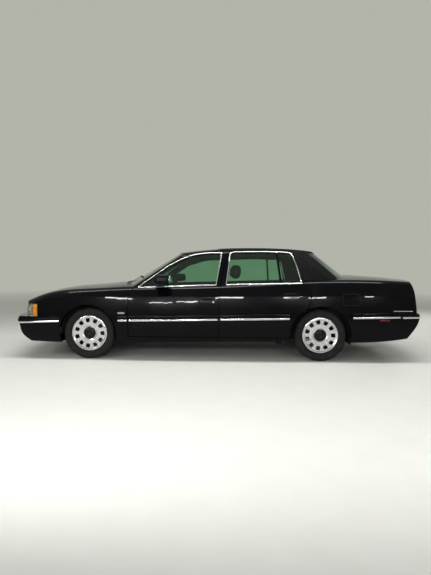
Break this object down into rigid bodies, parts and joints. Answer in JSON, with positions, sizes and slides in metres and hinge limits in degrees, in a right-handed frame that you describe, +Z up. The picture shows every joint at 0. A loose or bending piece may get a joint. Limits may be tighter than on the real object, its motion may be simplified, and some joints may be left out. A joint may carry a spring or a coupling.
{
  "type": "four-door saloon car",
  "caption": "Full-size four-door saloon car with a padded vinyl rear half roof, opening doors, bonnet and boot lid, and steered, rolling wheels.",
  "frame": {"origin": "on the ground under the middle of the car: the bottom centre of its bounding box", "axes": "+X towards the tail along the car's length, +Y towards the car's right side, +Z up"},
  "size_m": [5.3263, 2.13, 1.4438],
  "materials": {
    "paint": "high gloss black enamel",
    "padded_vinyl": "matt grained vinyl over padding",
    "tinted_glass": "green-tinted safety glass",
    "lamp_lens": "clear moulded lens",
    "lamp_bowl": "vacuum-plated reflector",
    "tail_lens": "red moulded lens",
    "chrome": "bright plating",
    "alloy": "machined and lacquered",
    "tyre": "sidewall rubber",
    "underbody": "matt underbody coating",
    "bare_steel": "machined steel",
    "iron": "rough casting",
    "dark_plastic": "grained moulding",
    "seat_leather": "soft dark grey hide"
  },
  "bodies": {
    "root": {"body_sides": "paint", "front_wings": "paint", "nose_panel": "paint", "grille": "chrome", "headlamps": "lamp_bowl", "headlamp_lenses": "lamp_lens", "front_bumper": "paint", "rear_bumper": "paint", "tail_lamps": "tail_lens", "tail_panel": "paint", "rear_deck_panel": "paint", "cowl_panel": "dark_plastic", "roof_panel": "paint", "padded_roof": "padded_vinyl", "screens": "tinted_glass", "floor_platform": "underbody", "wheelhouses": "underbody", "engine_block": "iron", "front_subframe": "underbody", "rear_suspension": "iron", "exhaust_system": "bare_steel", "fuel_tank": "underbody", "dashboard": "dark_plastic", "steering_wheel": "dark_plastic", "front_seats": "seat_leather", "rear_seat": "seat_leather"},
    "bonnet": {"bonnet": "paint"},
    "boot_lid": {"boot_lid": "paint"},
    "door_front_left": {"door_front_left": "paint", "door_glass_front_left": "tinted_glass", "mirror_left": "paint"},
    "door_rear_left": {"door_rear_left": "paint", "door_glass_rear_left": "tinted_glass"},
    "knuckle_left": {"knuckle_left": "iron"},
    "wheel_front_left": {"wheel_front_left": "alloy", "tyre_front_left": "tyre"},
    "wheel_rear_left": {"wheel_rear_left": "alloy", "tyre_rear_left": "tyre"},
    "door_front_right": {"door_front_right": "paint", "door_glass_front_right": "tinted_glass", "mirror_right": "paint"},
    "door_rear_right": {"door_rear_right": "paint", "door_glass_rear_right": "tinted_glass"},
    "knuckle_right": {"knuckle_right": "iron"},
    "wheel_front_right": {"wheel_front_right": "alloy", "tyre_front_right": "tyre"},
    "wheel_rear_right": {"wheel_rear_right": "alloy", "tyre_rear_right": "tyre"}
  },
  "joints": [
    {"name": "front_left_door_hinge", "type": "hinge", "parent": "root", "child": "door_front_left", "pos_m": [-1.02, -0.953, 0.5], "axis": [0, 0, 1], "range_deg": [-65, 0]},
    {"name": "front_right_door_hinge", "type": "hinge", "parent": "root", "child": "door_front_right", "pos_m": [-1.02, 0.953, 0.5], "axis": [0, 0, 1], "range_deg": [0, 65]},
    {"name": "rear_left_door_hinge", "type": "hinge", "parent": "root", "child": "door_rear_left", "pos_m": [0.104, -0.953, 0.5], "axis": [0, 0, 1], "range_deg": [-65, 0]},
    {"name": "rear_right_door_hinge", "type": "hinge", "parent": "root", "child": "door_rear_right", "pos_m": [0.104, 0.953, 0.5], "axis": [0, 0, 1], "range_deg": [0, 65]},
    {"name": "bonnet_hinge", "type": "hinge", "parent": "root", "child": "bonnet", "pos_m": [-1.131, 0, 0.899], "axis": [0, 1, 0], "range_deg": [0, 50]},
    {"name": "boot_lid_hinge", "type": "hinge", "parent": "root", "child": "boot_lid", "pos_m": [1.63, 0, 1.015], "axis": [0, -1, 0], "range_deg": [0, 70]},
    {"name": "steer_left", "type": "hinge", "parent": "root", "child": "knuckle_left", "pos_m": [-1.593, -0.7, 0.215], "axis": [0, 0.2079, 0.9781], "range_deg": [-33, 33]},
    {"name": "steer_right", "type": "hinge", "parent": "root", "child": "knuckle_right", "pos_m": [-1.593, 0.7, 0.215], "axis": [0, -0.2079, 0.9781], "range_deg": [-33, 33]},
    {"name": "front_left_wheel_spin", "type": "hinge", "parent": "knuckle_left", "child": "wheel_front_left", "pos_m": [-1.593, -0.7735, 0.325], "axis": [0, 1, 0], "continuous": true},
    {"name": "front_right_wheel_spin", "type": "hinge", "parent": "knuckle_right", "child": "wheel_front_right", "pos_m": [-1.593, 0.7735, 0.325], "axis": [0, 1, 0], "continuous": true},
    {"name": "rear_left_wheel_spin", "type": "hinge", "parent": "root", "child": "wheel_rear_left", "pos_m": [1.298, -0.7735, 0.325], "axis": [0, 1, 0], "continuous": true},
    {"name": "rear_right_wheel_spin", "type": "hinge", "parent": "root", "child": "wheel_rear_right", "pos_m": [1.298, 0.7735, 0.325], "axis": [0, 1, 0], "continuous": true}
  ],
  "couplings": [
    {"joint": "steer_right", "follows": "steer_left", "ratio": 1}
  ]
}
